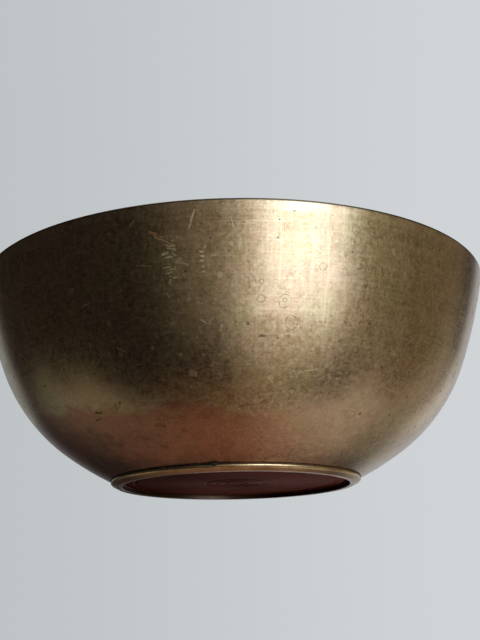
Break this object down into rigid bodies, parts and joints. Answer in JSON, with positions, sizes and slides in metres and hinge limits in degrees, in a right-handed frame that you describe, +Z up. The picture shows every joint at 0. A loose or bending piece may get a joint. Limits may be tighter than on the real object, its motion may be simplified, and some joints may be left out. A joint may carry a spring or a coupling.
{
  "type": "singing bowl",
  "caption": "Round thin-walled turned brass singing bowl with a plain rounded rim, standing on a low foot ring.",
  "frame": {"origin": "centre of the foot ring's lower face, on the surface that the bowl stands on", "axes": "+Z up along the bowl's axis, out of its mouth; the front, with the lump of braze, faces -Y"},
  "size_m": [0.1648, 0.1648, 0.0638],
  "materials": {
    "bowl_brass": "turned and worn satin, brown and coppery tarnish",
    "ring_brass": "worn satin",
    "braze": "dark oxidised"
  },
  "bodies": {
    "root": {"bowl_shell": "bowl_brass", "foot_ring": "ring_brass", "braze_seam": "braze"}
  },
  "joints": []
}
